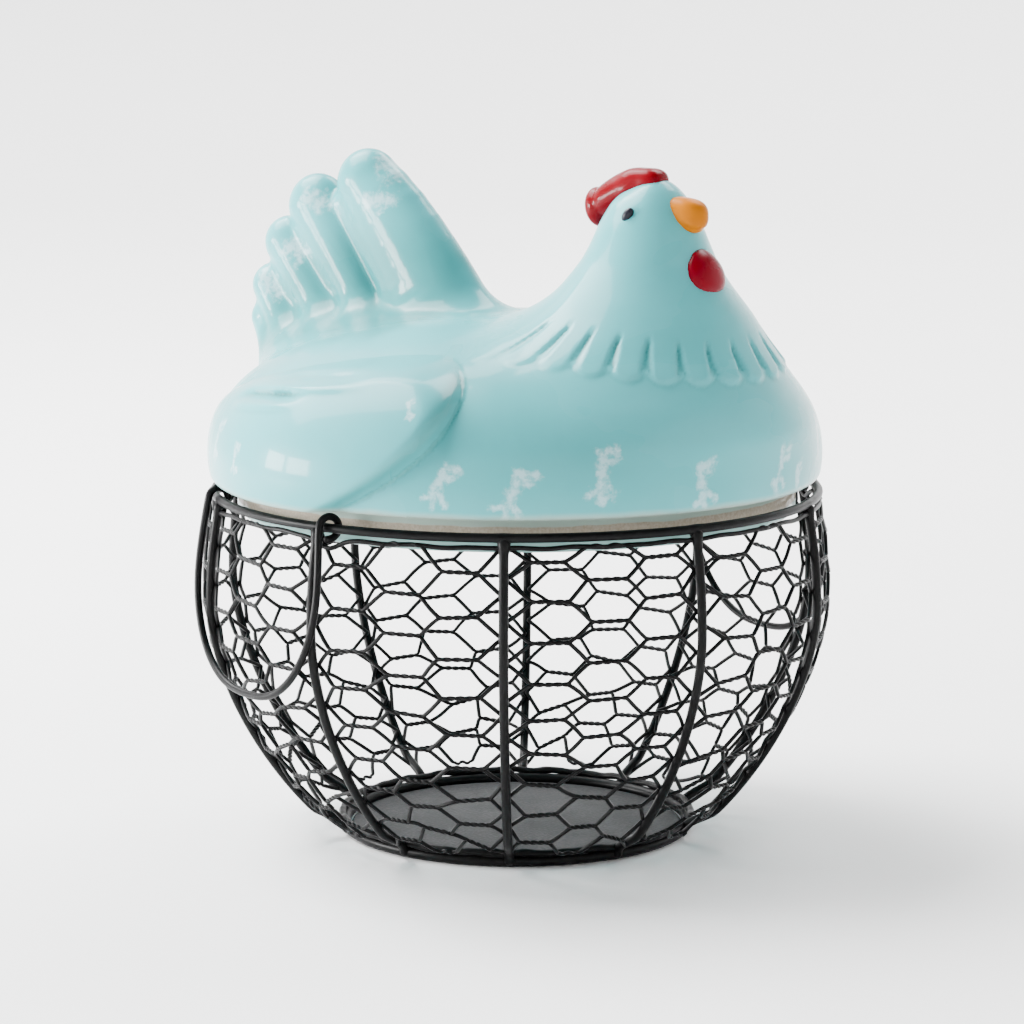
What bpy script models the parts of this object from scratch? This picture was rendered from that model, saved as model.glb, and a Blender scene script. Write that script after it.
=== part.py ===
"""Wire egg basket with a ceramic hen lid: a globe of welded rod and wire netting, two drop handles
and a hollow lid that sits on the rim.

Units are metres and +Z is up. The origin is at the centre of the base, on the surface it stands on.
The handles are on -X and +X. The hen looks LID_TURN degrees from -Y towards +X.
"""
import math

import bmesh
import bpy
from mathutils import Matrix, Vector

GAP = 0.0003                 # clearance between pieces that touch
SIDES = 8                    # sides of a rod

# Basket
RIM_RADIUS = 0.106           # centre line of the rim rod
RIM_HEIGHT = 0.1215
RIM_ROD = 0.0034             # rod diameters
BELLY_RADIUS = 0.110         # centre line of the ribs at their widest
BELLY_HEIGHT = 0.085
BELLY_POWER = 1.7            # how fast the wall turns in below the belly
FOOT_POWER = 0.83
BASE_RADIUS = 0.061          # centre line of the base ring
BASE_ROD = 0.004
PLATE_THICKNESS = 0.0012
RIB_COUNT = 10
RIB_ROD = 0.003
RIB_FOOT = 0.0019            # height of the ribs' lower ends

# Netting, one panel for each bay between two ribs
WIRE = 0.0016
COLUMN_PITCH = math.radians(10.3)
BAR_HALF = math.radians(3.4)
ROWS = 9
NET_FOOT = 0.0065            # height of the lowest wire
EYE_DIP = 0.0055             # how far a panel's corner dips to pass below a handle's eye

# Handles
HANDLE_WIRE = 0.0026
HANDLE_SPREAD = math.radians(20.5)   # half the angle between a handle's two eyes
EYE_RADIUS = 0.0039          # centre line of an eye, which turns freely on the rim rod
HANDLE_DROP = 0.062
HANDLE_STRAIGHT = 0.016      # straight length of a leg below its eye
HANDLE_BULGE = 0.0032        # how far each leg bows out sideways
EYE_TURN = math.radians(278)
HANDLE_TILT = math.radians(6.5)      # the hanging handle leans on the belly

# Lid
LID_TURN = math.radians(18)
LID_FLOOR = RIM_HEIGHT + EYE_RADIUS + HANDLE_WIRE / 2 + GAP   # the lid rests on the four eyes
FLANGE_RADIUS = 0.098
FLANGE_DEPTH = 0.0135
WALL = 0.0048
DOME_RADIUS = 0.1072
DOME_WAIST = 0.135           # height where the dome is widest
DOME_RISE = 0.048            # from there to the top of the back
DOME_POWER = 2.3
SEAT_RADIUS = 0.1062         # the dome's radius where it meets the seat
SKIRT = 0.012                # how far the hen's forms run on below the seat before it is cut
POLE_RADIUS = 0.004          # radius of the small flat at the top of the dome
CUT_DEPTH = 0.030            # how far the cutters reach below the seat
VOXEL = 0.003                # cell of the mesh that fuses the hen's forms
KEPT_FACES = 0.075           # share of the fused mesh that is kept


# Scene and materials

def clear_scene():
    for thing in list(bpy.data.objects):
        bpy.data.objects.remove(thing, do_unlink=True)


def new_collection(name):
    group = bpy.data.collections.new(name)
    bpy.context.scene.collection.children.link(group)
    return group


def paint(name, colour, roughness, metallic=0.0):
    material = bpy.data.materials.new(name)
    material.use_nodes = True
    shader = material.node_tree.nodes["Principled BSDF"]
    shader.inputs["Base Color"].default_value = (*colour, 1.0)
    shader.inputs["Roughness"].default_value = roughness
    shader.inputs["Metallic"].default_value = metallic
    material.diffuse_color = (*colour, 1.0)
    return material


def place(name, data, group, material):
    thing = bpy.data.objects.new(name, data)
    group.objects.link(thing)
    data.materials.append(material)
    return thing


# Building blocks

def polar(radius, angle, height):
    return Vector((radius * math.cos(angle), radius * math.sin(angle), height))


def turned(name, profile, steps, group, material, closed=True):
    """A profile of (radius, height) points turned about Z. A closed profile makes a ring."""
    mesh = bpy.data.meshes.new(name)
    edges = [(i, i + 1) for i in range(len(profile) - 1)]
    if closed:
        edges.append((len(profile) - 1, 0))
    mesh.from_pydata([(radius, 0, height) for radius, height in profile], edges, [])
    thing = place(name, mesh, group, material)
    screw = thing.modifiers.new("Turn", "SCREW")
    screw.steps = steps
    screw.render_steps = steps
    screw.use_merge_vertices = True
    screw.merge_threshold = 1e-5
    screw.use_smooth_shade = True
    return thing


def rod_ring(name, radius, height, rod, steps, group, material):
    """A ring of rod with a flat facet at its top and bottom."""
    profile = []
    for side in range(SIDES):
        turn = 2 * math.pi * (side + 0.5) / SIDES
        profile.append((radius + rod / 2 * math.sin(turn), height + rod / 2 * math.cos(turn)))
    return turned(name, profile, steps, group, material)


def bent_rod(name, points, rod, group, material):
    curve = bpy.data.curves.new(name, "CURVE")
    curve.dimensions = "3D"
    curve.bevel_depth = rod / 2
    curve.bevel_resolution = 2
    curve.use_fill_caps = True
    spline = curve.splines.new("POLY")
    spline.points.add(len(points) - 1)
    for point, place_at in zip(spline.points, points):
        point.co = (*place_at, 1.0)
        point.radius = 1.0
    return place(name, curve, group, material)


def add_ball(bm, centre, half_sizes, tilt=0.0, turn=0.0, segments=16):
    """An ellipsoid in the hen's own axes, tilted about X and then turned about Z."""
    matrix = (Matrix.Translation(centre) @ Matrix.Rotation(turn, 4, "Z")
              @ Matrix.Rotation(tilt, 4, "X") @ Matrix.Diagonal((*half_sizes, 1.0)))
    bmesh.ops.create_uvsphere(bm, u_segments=segments, v_segments=segments // 2, radius=1.0,
                              matrix=matrix)


def add_stack(bm, sections, segments=48):
    """A closed form through round sections (height, distance ahead of the middle, radius)."""
    rings = []
    for height, ahead, radius in sections:
        ring = []
        for step in range(segments):
            turn = 2 * math.pi * step / segments
            ring.append(bm.verts.new((radius * math.cos(turn), radius * math.sin(turn) - ahead, height)))
        rings.append(ring)
    for lower, upper in zip(rings, rings[1:]):
        for step in range(segments):
            after = (step + 1) % segments
            bm.faces.new((lower[step], lower[after], upper[after], upper[step]))
    bm.faces.new(list(reversed(rings[0])))
    bm.faces.new(rings[-1])


def mesh_from(bm, name):
    mesh = bpy.data.meshes.new(name)
    bmesh.ops.recalc_face_normals(bm, faces=bm.faces)
    bm.to_mesh(mesh)
    bm.free()
    return mesh


def boolean(thing, cutter, operation="DIFFERENCE"):
    modifier = thing.modifiers.new(cutter.name, "BOOLEAN")
    modifier.operation = operation
    modifier.object = cutter
    modifier.solver = "EXACT"


def hide(cutter):
    cutter.hide_render = True
    cutter.display_type = "WIRE"
    return cutter


# Basket

def wall_radius(height):
    """Radius of the basket's wall at a height."""
    if height >= BELLY_HEIGHT:
        up = (height - BELLY_HEIGHT) / (RIM_HEIGHT - BELLY_HEIGHT)
        return BELLY_RADIUS - (BELLY_RADIUS - RIM_RADIUS) * up ** 2
    down = (BELLY_HEIGHT - height) / BELLY_HEIGHT
    return BASE_RADIUS + (BELLY_RADIUS - BASE_RADIUS) * (1 - down ** BELLY_POWER) ** FOOT_POWER


def wall_heights(low, high, spaces):
    """Heights that part the wall between low and high into equal lengths along its curve."""
    fine = 400
    heights = [low + (high - low) * i / fine for i in range(fine + 1)]
    lengths = [0.0]
    for below, above in zip(heights, heights[1:]):
        lengths.append(lengths[-1] + math.hypot(above - below, wall_radius(above) - wall_radius(below)))
    result = []
    index = 0
    for space in range(spaces + 1):
        wanted = lengths[-1] * space / spaces
        while index < fine and lengths[index] < wanted:
            index += 1
        result.append(heights[index])
    return result


def rib_angle(index):
    return math.pi / RIB_COUNT + 2 * math.pi * index / RIB_COUNT


def make_rib(index, group, material):
    top = RIM_HEIGHT - RIM_ROD / 2 - GAP
    heights = wall_heights(RIB_FOOT, top, 11)
    points = [polar(wall_radius(height), rib_angle(index), height) for height in heights]
    return bent_rod(f"rib_{index + 1:02d}", points, RIB_ROD, group, material)


def beside_eye(angle):
    eyes = (HANDLE_SPREAD, -HANDLE_SPREAD, math.pi - HANDLE_SPREAD, math.pi + HANDLE_SPREAD)
    return any(abs(math.remainder(angle - eye, 2 * math.pi)) < math.radians(3) for eye in eyes)


def make_net_panel(index, group, material):
    """Three columns of six-sided cells. Bars lie level, and the middle column is half a row higher."""
    top = RIM_HEIGHT - RIM_ROD / 2 - WIRE
    heights = wall_heights(NET_FOOT, top, 2 * ROWS)
    middle = rib_angle(index) + math.pi / RIB_COUNT
    bm = bmesh.new()
    known = {}
    last = 2 * ROWS

    def edge_angle(height):
        clear = RIB_ROD / 2 + WIRE + 3 * GAP
        return math.pi / RIB_COUNT - clear / wall_radius(height)

    def corner(side, level):
        """Corner of a cell: sides 0 and 7 lie at the ribs, 1 to 6 are the ends of the bars."""
        if (side, level) not in known:
            height = heights[level]
            edge = edge_angle(height)
            inner = COLUMN_PITCH - BAR_HALF
            angles = (-edge, -COLUMN_PITCH - BAR_HALF, -inner, -BAR_HALF,
                      BAR_HALF, inner, COLUMN_PITCH + BAR_HALF, edge)
            angle = middle + angles[side]
            if level == last and beside_eye(angle):
                height -= EYE_DIP
            known[side, level] = bm.verts.new(polar(wall_radius(height), angle, height))
        return known[side, level]

    for level in range(0, last, 2):
        ring = [(3, level), (4, level), (5, level + 1), (4, level + 2), (3, level + 2), (2, level + 1)]
        bm.faces.new([corner(*key) for key in ring])
    for low in range(-1, last, 2):
        middle_level, high = low + 1, low + 2
        for outer, inner, bar_out, bar_in in ((0, 3, 1, 2), (7, 4, 6, 5)):
            ring = [(bar_out, low), (bar_in, low), (inner, middle_level),
                    (bar_in, high), (bar_out, high), (outer, middle_level)]
            bm.faces.new([corner(*key) for key in ring if 0 <= key[1] <= last])
    name = f"net_panel_{index + 1:02d}"
    mesh = mesh_from(bm, name)
    thing = place(name, mesh, group, material)
    wires = thing.modifiers.new("Wires", "WIREFRAME")
    wires.thickness = WIRE
    wires.use_boundary = True
    wires.use_replace = True
    wires.use_even_offset = True
    wires.offset = 0.0
    return thing


def make_basket(group, black, grey):
    rod_ring("rim_ring", RIM_RADIUS, RIM_HEIGHT, RIM_ROD, 60, group, black)
    base_height = BASE_ROD / 2 * math.cos(math.pi / SIDES)
    rod_ring("base_ring", BASE_RADIUS, base_height, BASE_ROD, 48, group, black)
    plate_radius = BASE_RADIUS - BASE_ROD / 2 - GAP
    profile = [(0, PLATE_THICKNESS), (plate_radius, PLATE_THICKNESS), (plate_radius, 0), (0, 0)]
    turned("base_plate", profile, 48, group, grey, closed=False)
    for index in range(RIB_COUNT):
        make_rib(index, group, black)
    for index in range(RIB_COUNT):
        make_net_panel(index, group, black)


# Handles

def handle_points():
    """Half of a handle's centre line, from the end of its eye to the middle of its bow.

    The handle hangs down -Z from an axis along Y, with its legs on the +X side of the eyes."""
    half = RIM_RADIUS * math.sin(HANDLE_SPREAD)
    points = []
    eye_steps = 11
    for step in range(eye_steps + 1):
        turn = EYE_TURN * (1 - step / eye_steps)
        points.append(Vector((EYE_RADIUS * math.cos(turn), half, EYE_RADIUS * math.sin(turn))))
    bow_drop = HANDLE_DROP - HANDLE_STRAIGHT
    bow_steps = 8
    for step in range(bow_steps + 1):
        turn = math.pi / 2 * step / bow_steps
        drop = HANDLE_STRAIGHT + bow_drop * math.sin(turn) ** 0.9
        bulge = HANDLE_BULGE * math.sin(math.pi * drop / HANDLE_DROP)
        points.append(Vector((EYE_RADIUS, half * math.cos(turn) ** 0.75 + bulge, -drop)))
    return points


def make_handle(name, side, group, material):
    half = handle_points()
    other = [Vector((point.x, -point.y, point.z)) for point in reversed(half[:-1])]
    handle = bent_rod(name, half + other, HANDLE_WIRE, group, material)
    axis_x = RIM_RADIUS * math.cos(HANDLE_SPREAD)
    pivot = bpy.data.objects.new(name + "_pivot", None)
    group.objects.link(pivot)
    pivot.location = (side * axis_x, 0, RIM_HEIGHT)
    pivot.rotation_euler = (0, -HANDLE_TILT, 0) if side > 0 else (0, -HANDLE_TILT, math.pi)
    handle.parent = pivot
    return handle


# Lid

def dome_radius(height):
    if height <= DOME_WAIST:
        down = (DOME_WAIST - height) / (DOME_WAIST - LID_FLOOR)
        return DOME_RADIUS - (DOME_RADIUS - SEAT_RADIUS) * down ** 2
    up = min((height - DOME_WAIST) / DOME_RISE, 1.0)
    return DOME_RADIUS * (1 - up ** DOME_POWER) ** (1 / DOME_POWER)


# Neck and head: (height, distance ahead of the middle, radius)
NECK = [(0.140, 0.040, 0.060), (0.148, 0.046, 0.060), (0.158, 0.049, 0.056), (0.170, 0.050, 0.050),
        (0.178, 0.051, 0.044), (0.184, 0.053, 0.0385), (0.190, 0.055, 0.0325), (0.197, 0.057, 0.026),
        (0.206, 0.0585, 0.0212), (0.215, 0.0585, 0.0182), (0.222, 0.0580, 0.0162), (0.227, 0.0575, 0.0125),
        (0.2300, 0.0570, 0.0075), (0.2312, 0.0570, 0.0020)]

# Tail lobes: (behind the middle, height, half length, half width, half thickness, lean from upright)
TAIL = [(0.0465, 0.2005, 0.0435, 0.0155, 0.0115, 30), (0.0705, 0.1965, 0.0375, 0.0125, 0.0120, 35),
        (0.0895, 0.1860, 0.0310, 0.0120, 0.0120, 40), (0.1012, 0.1745, 0.0235, 0.0105, 0.0110, 42),
        (0.1065, 0.1665, 0.0170, 0.0095, 0.0100, 45)]
TAIL_ROOT = ((0.058, 0.171), (0.018, 0.050, 0.020))      # (behind, height) and half sizes
WING_HALF = (0.0170, 0.056, 0.0205)
WING_OUT = 0.0905            # a wing's centre from the middle
WING_HEIGHT = 0.146
WING_TURN = math.radians(18)

# Trims: (ahead, height), half sizes (across, along, up) and the tilt in degrees
COMB = ((0.0480, 0.2262), (0.0064, 0.0168, 0.0096), -20)
BEAK = ((0.0745, 0.2200), (0.0064, 0.0088, 0.0056), 18)
WATTLE = ((0.0800, 0.2025), (0.0068, 0.0034, 0.0078), -24)
EYE = ((0.0590, 0.2215), (0.0016, 0.0019, 0.0027), -35)
EYE_OUT = 0.0158             # an eye's centre from the middle


def hen_form(name):
    """The outside of the hen as one fused skin, closed below the seat."""
    bm = bmesh.new()
    steps = 16
    top = DOME_WAIST + DOME_RISE
    heights = [LID_FLOOR - SKIRT]
    for step in range(steps + 1):
        heights.append(LID_FLOOR + (top - LID_FLOOR) * math.sin(math.pi / 2 * step / steps))
    add_stack(bm, [(height, 0, max(dome_radius(height), POLE_RADIUS)) for height in heights], 72)
    add_stack(bm, NECK)
    for behind, height, length, width, thick, lean in TAIL:
        add_ball(bm, (0, behind, height), (thick, width, length), tilt=-math.radians(lean))
    (behind, height), half_sizes = TAIL_ROOT
    add_ball(bm, (0, behind, height), half_sizes)
    for side in (-1, 1):
        turn = side * WING_TURN
        centre = Matrix.Rotation(turn, 3, "Z") @ Vector((side * WING_OUT, 0, WING_HEIGHT))
        add_ball(bm, centre, WING_HALF, turn=turn)
    return mesh_from(bm, name)


def fuse(thing, grow=0.0):
    """Modifiers that turn overlapping forms into one soft skin."""
    remesh = thing.modifiers.new("Fuse", "REMESH")
    remesh.mode = "VOXEL"
    remesh.voxel_size = VOXEL
    smooth = thing.modifiers.new("Soften", "SMOOTH")
    smooth.factor = 0.5
    smooth.iterations = 4
    decimate = thing.modifiers.new("Lighten", "DECIMATE")
    decimate.ratio = KEPT_FACES
    if grow:
        displace = thing.modifiers.new("Grow", "DISPLACE")
        displace.strength = grow
        displace.mid_level = 0.0


def lid_cutters(cutters, material):
    """Everything that shapes the lid's underside."""
    wide = DOME_RADIUS * 1.2
    outside = turned("below_seat", [(0, LID_FLOOR), (wide, LID_FLOOR), (wide, LID_FLOOR - CUT_DEPTH),
                                    (0, LID_FLOOR - CUT_DEPTH)], 48, cutters, material, closed=False)
    rooted = LID_FLOOR + 0.004   # the flange starts inside the dome's wall
    flange = turned("flange", [(0, rooted), (FLANGE_RADIUS, rooted),
                               (FLANGE_RADIUS, LID_FLOOR - FLANGE_DEPTH), (0, LID_FLOOR - FLANGE_DEPTH)],
                    60, cutters, material, closed=False)
    throat = FLANGE_RADIUS - WALL
    inner_radius = DOME_RADIUS - WALL
    inner_rise = DOME_RISE - WALL
    profile = [(0, DOME_WAIST + inner_rise)]
    steps = 8
    for step in range(steps):
        up = math.sin(math.pi / 2 * (steps - 1 - step) / steps)
        radius = inner_radius * (1 - up ** DOME_POWER) ** (1 / DOME_POWER)
        profile.append((radius, DOME_WAIST + inner_rise * up))
    ledge = LID_FLOOR + 0.002
    profile += [(throat, ledge), (throat, LID_FLOOR - CUT_DEPTH), (0, LID_FLOOR - CUT_DEPTH)]
    hollow = turned("dome_hollow", profile, 48, cutters, material, closed=False)
    bm = bmesh.new()
    sunk = 0.0035                # keeps the wall thick where the neck slopes
    add_stack(bm, [(height - sunk, ahead, radius - WALL) for height, ahead, radius in NECK[:-3]], 32)
    neck = place("neck_hollow", mesh_from(bm, "neck_hollow"), cutters, material)
    return outside, flange, hollow, neck


def make_lid(group, cutters, paints):
    turn = bpy.data.objects.new("lid_turn", None)
    group.objects.link(turn)
    turn.rotation_euler = (0, 0, LID_TURN)
    lid = place("hen_lid", hen_form("hen_lid"), group, paints["aqua"])
    lid.data.shade_smooth()
    fuse(lid)
    outside, flange, hollow, neck = lid_cutters(cutters, paints["aqua"])
    boolean(lid, hide(outside))
    boolean(lid, hide(flange), "UNION")
    boolean(lid, hide(hollow))
    boolean(lid, hide(neck))
    skin = place("hen_skin", hen_form("hen_skin"), cutters, paints["aqua"])
    fuse(skin, grow=GAP)
    hide(skin)
    for thing in (lid, outside, flange, hollow, neck, skin):
        thing.parent = turn

    def trim(name, material, form, across=0.0, segments=16):
        """A ball that stands proud of the hen, cut off at its skin."""
        (ahead, height), half_sizes, tilt = form
        bm = bmesh.new()
        add_ball(bm, (across, -ahead, height), half_sizes, tilt=math.radians(tilt), segments=segments)
        thing = place(name, mesh_from(bm, name), group, material)
        thing.data.shade_smooth()
        thing.parent = turn
        boolean(thing, skin)

    trim("comb", paints["red"], COMB)
    trim("beak", paints["yellow"], BEAK)
    trim("wattle", paints["crimson"], WATTLE)
    trim("eye_right", paints["eye"], EYE, -EYE_OUT, 12)
    trim("eye_left", paints["eye"], EYE, EYE_OUT, 12)


def main():
    clear_scene()
    group = new_collection("egg_basket")
    cutters = new_collection("cutters")
    black = paint("black_coating", (0.012, 0.012, 0.013), 0.38)
    grey = paint("grey_coating", (0.085, 0.085, 0.088), 0.55)
    paints = {
        "aqua": paint("aqua_glaze", (0.42, 0.72, 0.72), 0.12),
        "red": paint("red_glaze", (0.58, 0.008, 0.025), 0.10),
        "crimson": paint("crimson_glaze", (0.30, 0.004, 0.015), 0.12),
        "yellow": paint("yellow_glaze", (0.90, 0.42, 0.02), 0.15),
        "eye": paint("eye_glaze", (0.012, 0.012, 0.020), 0.10),
    }
    make_basket(group, black, grey)
    make_handle("handle_left", -1, group, black)
    make_handle("handle_right", 1, group, black)
    make_lid(group, cutters, paints)


main()
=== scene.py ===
"""Looks of a wire egg basket with a ceramic hen lid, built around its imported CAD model.

Units are metres, +Z is up and the basket stands on z = 0. Sizes that the CAD model also has are
repeated here, and its rim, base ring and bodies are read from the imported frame.
"""
import math

import bpy
import numpy as np
from mathutils import Matrix, Vector


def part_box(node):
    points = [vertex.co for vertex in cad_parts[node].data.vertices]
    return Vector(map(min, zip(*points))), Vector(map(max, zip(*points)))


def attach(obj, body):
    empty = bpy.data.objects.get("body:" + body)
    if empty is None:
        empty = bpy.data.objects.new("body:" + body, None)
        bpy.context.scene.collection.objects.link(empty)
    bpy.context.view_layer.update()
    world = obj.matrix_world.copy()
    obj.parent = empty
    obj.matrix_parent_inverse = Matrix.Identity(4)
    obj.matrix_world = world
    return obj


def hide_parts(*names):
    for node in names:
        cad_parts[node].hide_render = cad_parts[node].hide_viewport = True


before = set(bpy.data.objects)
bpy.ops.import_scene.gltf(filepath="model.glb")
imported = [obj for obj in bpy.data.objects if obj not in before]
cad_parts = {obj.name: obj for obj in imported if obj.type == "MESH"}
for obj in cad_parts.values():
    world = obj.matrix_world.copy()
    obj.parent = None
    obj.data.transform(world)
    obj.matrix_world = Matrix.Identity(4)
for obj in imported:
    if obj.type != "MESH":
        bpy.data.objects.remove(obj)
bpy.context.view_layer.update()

# Basket
RIM_LOW, RIM_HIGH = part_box("rim_ring")
BASE_LOW, BASE_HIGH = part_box("base_ring")
RIM_ROD = RIM_HIGH.z - RIM_LOW.z
RIM_HEIGHT = (RIM_HIGH.z + RIM_LOW.z) / 2
RIM_RADIUS = (RIM_HIGH.x - RIM_LOW.x) / 2 - RIM_ROD / 2
BASE_ROD = 0.004
BASE_RADIUS = (BASE_HIGH.x - BASE_LOW.x) / 2 - BASE_ROD / 2
BELLY_RADIUS = 0.110
BELLY_HEIGHT = 0.085
BELLY_POWER = 1.7
FOOT_POWER = 0.83
RIB_COUNT = 10
FIRST_RIB = math.radians(18)
RIB_ROD = 0.0032
RIB_FOOT = 0.0019
RIB_BEND = 0.011             # height up to which a rib bends in to the base ring
RIB_SINK = 0.45              # how far a rib's top lies below the rim's centre line, in rim rods
FOOT_OUT = 0.0012            # a rib's foot and the binding wire, outwards from the base ring's centre line
WELD_LENGTH = 0.0025         # how far a rod thickens towards a weld
WELD_SWELL = 1.45            # its radius at the weld on the rim, as a share of the rod's own
FOOT_SWELL = 1.15            # and at the base ring
WALL_POINTS = 801            # heights at which the wall's length is measured

# Rods and wires
TIP_REACH = 0.6              # a rod's rounded end beyond its last point, in radii
TIP_SHARE = 0.55             # and its radius there, as a share of the rod's own
STEEP = 0.8                  # upward part of a direction that counts as steep

# Rings: each has a weld at every rib and a thin wire that binds the netting to it
RING_TURNS = 2 * np.pi * np.arange(360) / 360
WELD_ANGLE = 0.020           # reach of a weld along a ring, in radians
RIM_WELD = 0.10              # how much a ring's rod thickens at a weld
BASE_WELD = 0.04
RIM_BINDING = 0.00085        # radius of the binding wire
RIM_BINDING_OUT = 0.0004     # outwards from the rim's centre line
RIM_BINDING_DOWN = 0.0033    # and below it
EYE_DIP = 0.0036             # how much further down it passes below a handle's eye
EYE_DIP_ANGLE = 0.055
RIM_WANDER = 0.0003          # how far it wanders up and down
BASE_BINDING = 0.0013
BASE_BINDING_HEIGHT = 0.0049
BASE_WANDER = 0.0004
BASE_LUMPS = 0.12            # how uneven its thickness is
PLATE_EDGE = 0.0012          # width of the floor plate's rounded edge

# Netting: each bay between two ribs has three columns of six-sided cells
COLUMN_PITCH = math.radians(10.3)
BAR_HALF = math.radians(3.35)
LEVELS = 18                  # half rows from the lowest wire to the rim
NET_FOOT = 0.0065
NET_TOP = 0.0030             # the highest wire, below the rim's centre line
RIB_EDGE = 0.006             # how near a panel's corner comes to a rib's centre line, in radians
TUCK = -0.0021               # corners lie behind the ribs
SINGLE_WIRE = 0.00074        # radius of a lone wire
STRAND = 0.00060             # radius of each of the two wires twisted into a bar
TWIST = 0.00032              # their distance from the bar's axis
TWIST_TURNS = 2.0
TWIST_STEPS = 15
SLANT_BOW = 0.00025          # how far a slanting wire bows
BAY_SHIFT = (0.0018, -0.0012, 0.0024, -0.0020, 0.0012, -0.0024, 0.0030, -0.0008, 0.0021, -0.0016)
CALM_BAYS = (5, 6)           # the two bays whose cells are the most even
CALM = 0.55                  # their unrest, as a share of the others'
UNREST_TOP = 0.0006          # how far corners stray at the rim
UNREST_FOOT = 0.0019         # and how much more at the crowded foot
UNREST_POWER = 1.6

# Handles
HANDLE_WIRE = 0.0026
HANDLE_SPREAD = math.radians(20.5)
EYE_RADIUS = 0.0039
HANDLE_DROP = 0.062
HANDLE_STRAIGHT = 0.016
HANDLE_BULGE = 0.0032
HANDLE_TILT = math.radians(6.5)
EYE_TURN = math.radians(278)
BEND_STEPS = 26              # points along an eye and along half the bow
BOW_WIDTH_POWER = 0.75       # the bow's shape: lower powers are squarer
BOW_DROP_POWER = 0.9

# Lid
LID_TURN = math.radians(18)
LID_FLOOR = RIM_HEIGHT + EYE_RADIUS + HANDLE_WIRE / 2 + 0.0003
FLANGE_RADIUS = 0.098
FLANGE_DEPTH = 0.0120
WALL = 0.0048
DOME_RADIUS = 0.1072
DOME_WAIST = 0.135
DOME_RISE = 0.048
DOME_POWER = 2.3
SEAT_RADIUS = 0.1062
HEN_CELL = 0.00115           # grid on which the hen's surface is found
TRIM_CELL = 0.0007
EYE_CELL = 0.0003

# Folded wings: turns are degrees from straight ahead
WING_FRONT = 63              # turn at which a wing begins, above WING_BEND
WING_BEND = 0.168            # height below which its front edge sweeps back
WING_SWEEP = 12.3            # how far, by WING_SWEEP_DROP further down
WING_SWEEP_DROP = 0.030
WING_TOP = 0.1755            # height of its top edge, which falls away behind WING_TOP_TURN
WING_TOP_TURN = 75
WING_TOP_FALL = 0.0115       # how far, in the next WING_TOP_SPAN
WING_TOP_SPAN = 50
WING_TOP_SLANT = 1.5         # length along the back for each metre of height
WING_EDGE_RADIUS = 0.100     # radius of the dome about where a wing begins
WING_CORNER = 0.020          # fillet between the two edges
WING_HEIGHT = 0.0078         # how far a wing stands proud
WING_RIM = 0.0088            # width over which it rises from its edge
WING_FADE = (90, 136)        # turns between which it sinks to WING_LOW of that
WING_LOW = 0.15
WING_END = (138, 165)        # and to nothing
WING_LINES = ((80, 112, 0.1712, 0.1668), (93, 122, 0.1640, 0.1592))    # grooves: turns and heights
WING_LINE_HALF = 0.0016
WING_LINE_DEPTH = 0.0021
WING_LINE_LIP = 0.0009

# Painted shade: darker glaze in a band inside the wings' front edges and down the tail's feathers
SHADE_INSET = 0.0034          # middle of the band inside a wing's front edge
SHADE_HALF = 0.0030
SHADE_FALL = (0.004, 0.026)   # below a tail feather's tip, where it begins and is full
SHADE_FEET = ((0.030, 0.1745), (0.070, 0.1700), (0.110, 0.1580))    # the feathers' feet: (behind, height)
SHADE_FOOT_FADE = 0.007
SHADE_FRONT = (0.014, 0.026)

# Neck: (height, ahead of the middle, radius)
NECK = [(0.134, 0.038, 0.060), (0.140, 0.040, 0.060), (0.148, 0.046, 0.060), (0.158, 0.049, 0.056),
        (0.170, 0.050, 0.050), (0.178, 0.051, 0.044), (0.184, 0.0530, 0.0390), (0.190, 0.0545, 0.0338),
        (0.197, 0.0560, 0.0283), (0.206, 0.0573, 0.0224), (0.215, 0.0578, 0.0170)]
HEAD = ((0.0577, 0.2138), (0.0166, 0.0171, 0.0172))
CROWN = ((0.0612, 0.2205), (0.0095, 0.0072, 0.0117))
COLLAR_EDGE = 0.1700
COLLAR_RISE = 0.0013
COLLAR_TILT = 0.0065         # how much higher its edge is at the sides
COLLAR_TIP = 0.0028          # how far a feather's tip hangs below the edge
COLLAR_STEP = (-0.0009, 0.0016)      # heights from a tip between which the collar rises
COLLAR_FADE = (0.014, 0.032)         # heights above the edge between which it melts into the neck
COLLAR_ENDS = (math.radians(105), math.radians(122))    # turns between which it ends behind
GROOVE_LENGTH = 0.0125       # of the wedge between two of the collar's feathers
GROOVE_HALF = 0.0017         # its half width at the collar's edge
GROOVE_SIDE = (-0.0006, 0.0009)      # from its edge, where its floor ends and its side is up
GROOVE_FADE = 0.55           # share of its length from which it gets shallower
FEATHERS = 26

# Tail feathers: each a line of (behind the middle, height, half width), and its half thickness
TAIL = [
    ([(0.0240, 0.1700, 0.0172), (0.0340, 0.1850, 0.0176), (0.0425, 0.1955, 0.0174), (0.0555, 0.2130, 0.0158),
      (0.0672, 0.2253, 0.0127)], (0.0150, 0.0098)),
    ([(0.0530, 0.1700, 0.0082), (0.0640, 0.1820, 0.0086), (0.0725, 0.1930, 0.0102), (0.0820, 0.2045, 0.0115),
      (0.0912, 0.2158, 0.0122)], (0.0142, 0.0093)),
    ([(0.0710, 0.1640, 0.0090), (0.0800, 0.1745, 0.0092), (0.0885, 0.1835, 0.0096), (0.0968, 0.1925, 0.0099),
      (0.1052, 0.2022, 0.0098)], (0.0134, 0.0087)),
    ([(0.0900, 0.1580, 0.0090), (0.0965, 0.1655, 0.0093), (0.1030, 0.1725, 0.0092), (0.1088, 0.1795, 0.0087),
      (0.1133, 0.1860, 0.0083)], (0.0124, 0.0078)),
    ([(0.1000, 0.1530, 0.0072), (0.1045, 0.1585, 0.0074), (0.1090, 0.1640, 0.0074), (0.1125, 0.1690, 0.0073),
      (0.1155, 0.1740, 0.0072)], (0.0112, 0.0068)),
]
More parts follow.
